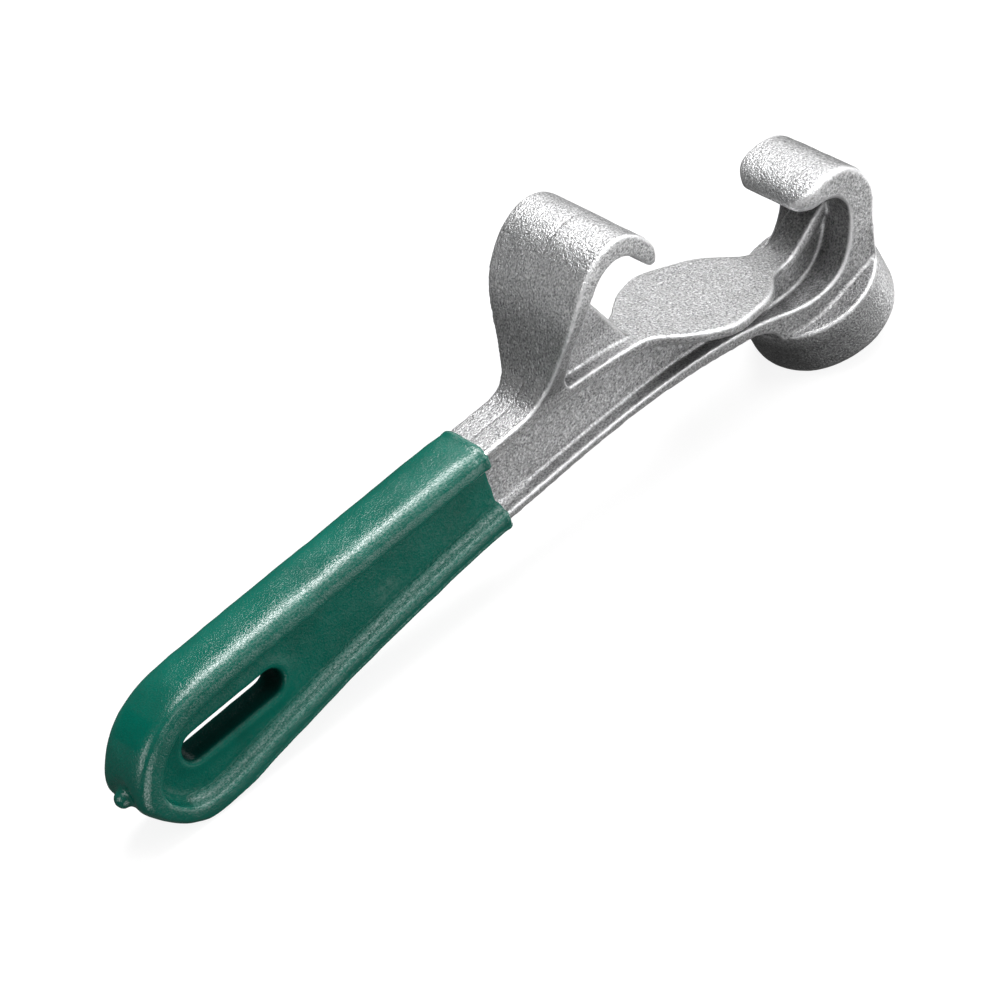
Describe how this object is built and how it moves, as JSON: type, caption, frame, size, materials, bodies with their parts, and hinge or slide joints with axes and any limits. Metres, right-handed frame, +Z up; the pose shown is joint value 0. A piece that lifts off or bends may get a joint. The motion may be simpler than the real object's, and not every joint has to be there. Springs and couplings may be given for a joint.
{
  "type": "fire hydrant wrench",
  "caption": "Cast aluminium hydrant and hose-coupling wrench: I-beam handle with a dipped green grip and hang slot, a flared rear hook, a paddle, a front hook and a boss with a nut socket.",
  "frame": {"origin": "on the surface that the wrench stands on, under the middle of its overall box", "axes": "+X from the handle's free end to the head, along the longest extent; +Y across the width, which is the shortest extent and the normal of the plane of symmetry; +Z up, with the hooks rising and the boss down"},
  "size_m": [0.3008, 0.047, 0.0966],
  "materials": {
    "cast_aluminium": "shot-blasted sand casting, as cast",
    "green_pvc": "dipped soft PVC, glossy with a fine orange peel"
  },
  "bodies": {
    "root": {"wrench_casting": "cast_aluminium", "grip_sleeve": "green_pvc"}
  },
  "joints": []
}
